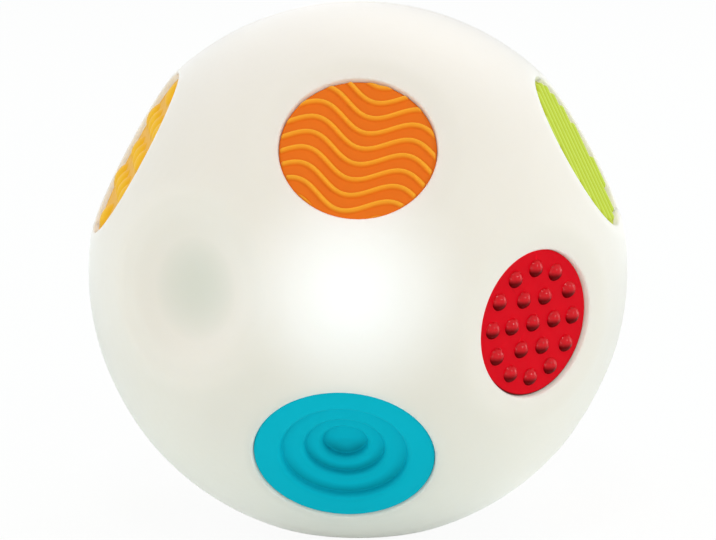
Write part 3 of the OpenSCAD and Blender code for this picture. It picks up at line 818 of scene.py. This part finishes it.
def stepOutline(stepR, stepZ):
    plan = bowlPlan
    edge, foot, low = plan["edgeRound"], plan["footRound"], stepZ - plan["stepH"]
    points = []
    for i in range(plan["roundSteps"] + 1):
        turn = 0.5 * math.pi * (1.0 + i / plan["roundSteps"])
        points.append((stepR + edge + edge * math.cos(turn), stepZ - edge + edge * math.sin(turn)))
    for i in range(plan["roundSteps"] + 1):
        turn = -0.5 * math.pi * i / plan["roundSteps"]
        points.append((stepR - foot + foot * math.cos(turn), low + foot + foot * math.sin(turn)))
    return points


def makeBowlDisc(node, name, way):
    plan, rim = bowlPlan, discR("bowl")
    foot = discFoot(node, name + "Foot", way, plan["lowZ"] + plan["footRise"])
    points = [(0.0, plan["lowZ"]), (rim, plan["lowZ"])]
    points += roundedRim(rim, plan["topZ"], plan["rimRound"])
    for i, share in enumerate(plan["stepShares"]):
        points += stepOutline(seatR["bowl"] * share, plan["topZ"] - i * plan["stepH"])
    points.append((0.0, plan["topZ"] - len(plan["stepShares"]) * plan["stepH"]))
    disc = spinOutline(points, name)
    joinIn(disc, foot)
    disc.data.transform(onBall(way))
    smoothFaces(disc)
    finishPiece(disc, "ball", node, rubber["blueRubber"])


makeBowlDisc("bowl_disc_front", "bowlDiscFront", spotWays["bowl"])
makeBowlDisc("bowl_disc_rear", "bowlDiscRear", opposite(spotWays["bowl"]))
print("bowl discs made")


# Red, yellow and green discs: a plate with a rounded rim, made one with the foot of its node and
# its texture
platePlan = {"inset": 0.06, "rimRound": 0.45, "root": 0.6, "margin": 0.5, "flatAngle": 0.5,
             "domeSegments": 40, "domeRings": 27}


def makePlate(name, kind):
    plan, rim, top = platePlan, discR(kind), discPlan["faceZ"]
    low = top - discPlan["plateDrop"]
    points = [(0.0, low), (rim - plan["inset"], low), (rim, top - discPlan["footDrop"])]
    return spinOutline(points + roundedRim(rim, top, plan["rimRound"]) + [(0.0, top)], name)


def finishDisc(plate, texture, node, way, material):
    joinIn(plate, discFoot(node, plate.name + "Foot", way, discPlan["faceZ"] - discPlan["footDrop"]))
    joinIn(plate, texture)
    mergeFlats(plate, platePlan["flatAngle"])
    plate.data.transform(onBall(way))
    smoothFaces(plate)
    finishPiece(plate, "ball", node, material)


# Dome on the face of a disc, with a short root in the plate
def makeDome(name, footR, height):
    plan, face = platePlan, discPlan["faceZ"]
    roundR = (footR * footR + height * height) / (2.0 * height)
    dropSelection()
    bpy.ops.mesh.primitive_uv_sphere_add(
        segments=plan["domeSegments"], ring_count=plan["domeRings"], radius=roundR * mm,
        location=upright * ((face + height - roundR) * mm))
    dome = named(name)
    settle(dome)
    startEdit(dome)
    bpy.ops.mesh.bisect(plane_co=upright * ((face - plan["root"]) * mm), plane_no=upright,
                        use_fill=True, clear_inner=True)
    endEdit()
    return dome


# Studs in rings: how many, and at which share of the seat's radius
studPlan = {"footR": 2.1, "height": 1.5, "rings": ((1, 0.0), (6, 0.39), (12, 0.74))}


def makeStudDisc():
    plan = studPlan
    moves = []
    for count, share in plan["rings"]:
        for i in range(count):
            turn = Matrix.Rotation(2.0 * math.pi * i / count, 4, "Z")
            moves.append(turn @ moved(seatR["stud"] * share, 0.0, 0.0))
    studs = spread(makeDome("studs", plan["footR"], plan["height"]), moves)
    plate = makePlate("studDisc", "stud")
    finishDisc(plate, studs, "stud_disc", spotWays["stud"], rubber["redRubber"])


bumpPlan = {"footR": 3.6, "height": 1.4, "pitch": 9.6, "rows": 3}


def makeBumpDisc(node, name, way):
    plan = bumpPlan
    rowH = plan["pitch"] * math.sin(math.radians(60.0))
    reach = discR("bump") - platePlan["margin"] - plan["footR"]
    moves = []
    for i in range(-plan["rows"], plan["rows"] + 1):
        for j in range(-plan["rows"], plan["rows"] + 1):
            x, y = plan["pitch"] * (j + 0.5 * (i % 2)), rowH * i
            if math.hypot(x, y) <= reach:
                moves.append(moved(x, y, 0.0))
    bumps = spread(makeDome(name + "Bumps", plan["footR"], plan["height"]), moves)
    finishDisc(makePlate(name, "bump"), bumps, node, way, rubber["yellowRubber"])


ridgePlan = {"backR": 1.1, "pitch": 4.4, "turn": 62.0, "count": 4, "segments": 32, "rings": 15}


# Straight ridge with round ends: a ball drawn out along X
def makeRidge(name, halfLength, move):
    plan = ridgePlan
    dropSelection()
    bpy.ops.mesh.primitive_uv_sphere_add(
        segments=plan["segments"], ring_count=plan["rings"], radius=plan["backR"] * mm,
        rotation=(0.0, math.radians(90.0), 0.0))
    ridge = named(name)
    settle(ridge)
    for vertex in ridge.data.vertices:
        vertex.co.x += math.copysign(halfLength - plan["backR"], vertex.co.x) * mm
    ridge.data.transform(move)
    return ridge


def makeRidgeDisc(node, name, way):
    plan = ridgePlan
    reach = discR("ridge") - platePlan["margin"]
    plate = makePlate(name, "ridge")
    ridges = []
    for i in range(-plan["count"], plan["count"] + 1):
        halfLength = math.sqrt(reach ** 2 - (abs(i) * plan["pitch"] + plan["backR"]) ** 2)
        place = turned(plan["turn"], "Z") @ moved(0.0, i * plan["pitch"], discPlan["faceZ"])
        ridges.append(makeRidge(name + "Ridge", halfLength, place))
    finishDisc(plate, gather(ridges), node, way, rubber["greenRubber"])


makeStudDisc()
makeBumpDisc("bump_disc_front", "bumpDiscFront", spotWays["bump"])
makeBumpDisc("bump_disc_rear", "bumpDiscRear", opposite(spotWays["bump"]))
makeRidgeDisc("ridge_disc_front", "ridgeDiscFront", spotWays["ridge"])
makeRidgeDisc("ridge_disc_rear", "ridgeDiscRear", opposite(spotWays["ridge"]))
print("red, yellow and green discs made")


# Battery door: rounded rim, shallow thumb hollow and two sunk screw holes
doorPlan = {
    "r": 19.3, "lowZ": 58.2, "topZ": 60.6, "round": 0.4,
    "gripR": 60.0, "gripDepth": 0.5, "gripSteps": 8,
    "screwX": 15.9, "holeR": 1.15, "headRoomR": 2.55, "headDepth": 1.5, "lip": 0.3, "past": 1.0,
    "holeSteps": 48,
}
doorWay = opposite(spotWays["dish"])


# Moves to the two screws of the door, at a height along its axis
def doorSides(height):
    return [moved(x, 0.0, height) for x in (-doorPlan["screwX"], doorPlan["screwX"])]


def makeDoor():
    plan = doorPlan
    low, top = plan["lowZ"], plan["topZ"]
    gripMiddle = top - plan["gripDepth"] + plan["gripR"]
    gripEdge = math.sqrt(plan["gripR"] ** 2 - (gripMiddle - top) ** 2)
    points = [(0.0, low), (plan["r"], low)] + roundedRim(plan["r"], top, plan["round"])
    for i in range(plan["gripSteps"], -1, -1):
        across = gripEdge * i / plan["gripSteps"]
        points.append((across, gripMiddle - math.sqrt(plan["gripR"] ** 2 - across ** 2)))
    door = spinOutline(points, "batteryDoor")
    start, seat, end = low - plan["past"], top - plan["headDepth"], top + plan["past"]
    headR, mouthR = plan["headRoomR"], plan["headRoomR"] + plan["lip"]
    hole = spinOutline([(0.0, start), (plan["holeR"], start), (plan["holeR"], seat), (headR, seat),
                        (headR, top - plan["lip"]), (mouthR, top), (mouthR, end), (0.0, end)],
                       "doorHoles", plan["holeSteps"])
    joinIn(door, spread(hole, doorSides(0.0)), "DIFFERENCE")
    door.data.transform(onBall(doorWay))
    smoothFaces(door, 30.0)
    finishPiece(door, "door", "battery_door", milkyPlastic)


# Pan-head screws with a cross slot, on z = 0 under the head
screwPlan = {
    "door": {"r": 1.0, "length": 9.0, "headR": 2.4, "headT": 1.5, "slotW": 0.6, "slotDepth": 0.7},
    "shell": {"r": 1.5, "length": 18.0, "headR": 2.9, "headT": 2.0, "slotW": 0.8, "slotDepth": 0.9},
    "tipShare": 0.5, "taperShare": 0.8, "bendShare": 0.55, "slotShare": 1.4, "slotRound": 0.12,
    "steps": 48,
    "shellSeatY": 9.0,
    "shellShares": ((-0.46, -0.4), (-0.46, 0.5), (0.52, 0.4), (0.43, -0.55)),
}


def makeScrew(name, plan):
    r, tip, headR, headT = plan["r"], -plan["length"], plan["headR"], plan["headT"]
    points = [(0.0, tip), (screwPlan["tipShare"] * r, tip), (r, tip + screwPlan["taperShare"] * r),
              (r, 0.0), (headR, 0.0)]
    points += roundedRim(headR, headT, screwPlan["bendShare"] * headT) + [(0.0, headT)]
    screw = spinOutline(points, name, screwPlan["steps"])
    slotL, slotW = screwPlan["slotShare"] * headR, plan["slotW"]
    for x, y in ((slotL, slotW), (slotW, slotL)):
        dropSelection()
        bpy.ops.mesh.primitive_cube_add(size=1.0, location=upright * (headT * mm))
        bpy.ops.transform.resize(value=(x * mm, y * mm, 2.0 * plan["slotDepth"] * mm))
        slot = named(name + "Slot")
        settle(slot)
        roundEdges(slot, screwPlan["slotRound"])
        joinIn(screw, slot, "DIFFERENCE")
    return screw


def makeScrews():
    plan = screwPlan
    headZ = doorPlan["topZ"] - plan["door"]["headT"]
    doorMoves = [onBall(doorWay) @ side for side in doorSides(headZ)]
    back = Matrix.Translation(ballMiddle) @ turned(-90.0, "X")
    shellMoves = [moved(x * ballR, plan["shellSeatY"], z * ballR) @ back
                  for x, z in plan["shellShares"]]
    for kind, name, moves, body, node in (
        ("door", "doorScrews", doorMoves, "door", "door_screws"),
        ("shell", "shellScrews", shellMoves, "ball", "shell_screws"),
    ):
        screws = spread(makeScrew(name, plan[kind]), moves)
        smoothFaces(screws)
        finishPiece(screws, body, node, brightSteel)


# Cells: round shoulders, a raised end and a plain jacket
cellPlan = {"r": 5.25, "lowZ": 13.1, "topZ": 57.6, "round": 0.6, "lowEdge": 0.4,
            "nubR": 1.9, "nubH": 1.0, "nubRound": 0.3,
            "ring": 6.293, "turn": 30.0, "count": 3, "steps": 64}


def makeCells():
    plan = cellPlan
    r, low, top, edge = plan["r"], plan["lowZ"], plan["topZ"], plan["lowEdge"]
    shoulder = top - plan["nubH"]
    points = [(0.0, low), (r - edge, low), (r, low + edge)]
    points += roundedRim(r, shoulder, plan["round"]) + [(plan["nubR"], shoulder)]
    points += roundedRim(plan["nubR"], top, plan["nubRound"]) + [(0.0, top)]
    turns = [turned(plan["turn"] + 360.0 * i / plan["count"], "Z") for i in range(plan["count"])]
    moves = [onBall(doorWay) @ turn @ moved(plan["ring"], 0.0, 0.0) for turn in turns]
    cells = spread(spinOutline(points, "batteryCells", plan["steps"]), moves)
    smoothFaces(cells)
    finishPiece(cells, "ball", "battery_cells", inside["cellJacket"])


# Switch knob: the node's ribbed pad with its edges softened
knobPlan = {"flatAngle": 1.0, "round": 0.14}


def makeKnob():
    knob = copyOf("switch_knob", "switchKnob")
    mergeFlats(knob, knobPlan["flatAngle"])
    roundEdges(knob, knobPlan["round"])
    smoothFaces(knob)
    finishPiece(knob, "knob", "switch_knob", inside["knobPlastic"])


makeDoor()
makeScrews()
makeCells()
makeKnob()
print("door, screws, cells and knob made")


# Floor, backdrop and light: the backdrop is white to the eye and in reflections, and dimmer as light
stagePlan = {"floorZ": -63.0, "floorSize": 8.0, "floorColour": (0.86, 0.94, 0.91),
             "floorRoughness": 0.9, "floorWhite": 0.93, "ambient": 0.57}
white = (1.0, 1.0, 1.0)


def makeFloor():
    plan = stagePlan
    dropSelection()
    bpy.ops.mesh.primitive_plane_add(size=plan["floorSize"], location=upright * (plan["floorZ"] * mm))
    floor = named("floor")
    settle(floor)
    material, tree, shader = newMaterial("paleFloor")
    feed(tree, shader["Base Color"], plan["floorColour"])
    feed(tree, shader["Roughness"], plan["floorRoughness"])
    rays = tree.nodes.new("ShaderNodeLightPath").outputs
    glow = tree.nodes.new("ShaderNodeEmission")
    feed(tree, glow.inputs["Color"], white)
    mix = tree.nodes.new("ShaderNodeMixShader")
    share = numberNode(tree, "MULTIPLY", rays["Is Camera Ray"], plan["floorWhite"])
    feed(tree, mix.inputs["Fac"], share)
    feed(tree, mix.inputs[1], tree.nodes["Principled BSDF"].outputs["BSDF"])
    feed(tree, mix.inputs[2], glow.outputs["Emission"])
    feed(tree, tree.nodes["Material Output"].inputs["Surface"], mix.outputs["Shader"])
    floor.data.materials.append(material)


def makeBackdrop():
    world = bpy.data.worlds.new("paleRoom")
    world.use_nodes = True
    bpy.context.scene.world = world
    tree = world.node_tree
    rays = tree.nodes.new("ShaderNodeLightPath").outputs
    seen = numberNode(tree, "ADD", rays["Is Camera Ray"], rays["Is Transmission Ray"], clamp=True)
    seen = numberNode(tree, "ADD", seen, rays["Is Glossy Ray"], clamp=True)
    tone = colourNode(tree, seen, [stagePlan["ambient"]] * 3, white)
    feed(tree, tree.nodes["Background"].inputs["Color"], tone)
    tree.nodes["Background"].inputs["Strength"].default_value = 1.0


# Soft lamps, aimed at the ball: place and size in metres, power in watts
lampPlan = {
    "keyLamp": ((1.12, -0.77, 0.64), 0.25, 3.7),
    "leftLamp": ((-1.27, -0.1, 0.27), 0.45, 2.6),
    "topLamp": ((-0.06, -0.58, 1.15), 0.25, 2.7),
    "rightLamp": ((1.3, 0.35, 0.25), 0.6, 2.5),
    "backLamp": ((0.3, 0.9, 1.0), 0.8, 4.6),
    "lowLamp": ((-0.55, -1.15, 0.0), 0.5, 2.3),
}


def makeLamps():
    for name, (place, size, power) in lampPlan.items():
        data = bpy.data.lights.new(name, "AREA")
        data.size = size
        data.energy = power
        lamp = bpy.data.objects.new(name, data)
        lamp.location = place
        lamp.rotation_euler = Vector(place).to_track_quat("Z", "Y").to_euler()
        bpy.context.scene.collection.objects.link(lamp)


makeFloor()
makeBackdrop()
makeLamps()
bpy.context.scene.view_settings.view_transform = "Standard"
print("stage and lamps set")

# Finishes of the CAD nodes that stay
nodeFinish = {
    "main_board": inside["boardLacquer"],
    "glow_led": inside["lampLens"],
    "speaker_magnet": inside["ferrite"],
}
for node in ("sound_chip", "capacitor", "resistors", "speaker_cone", "speaker_clamp", "switch_body"):
    nodeFinish[node] = inside["darkPlastic"]
for node in ("board_screws", "clamp_screws", "switch_screws", "base_contacts",
             "door_contacts", "motion_can", "motion_ball", "speaker_frame"):
    nodeFinish[node] = brightSteel
for node, material in nodeFinish.items():
    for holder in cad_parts[node].material_slots:
        holder.material = material
print("finishes given")

dropSelection()
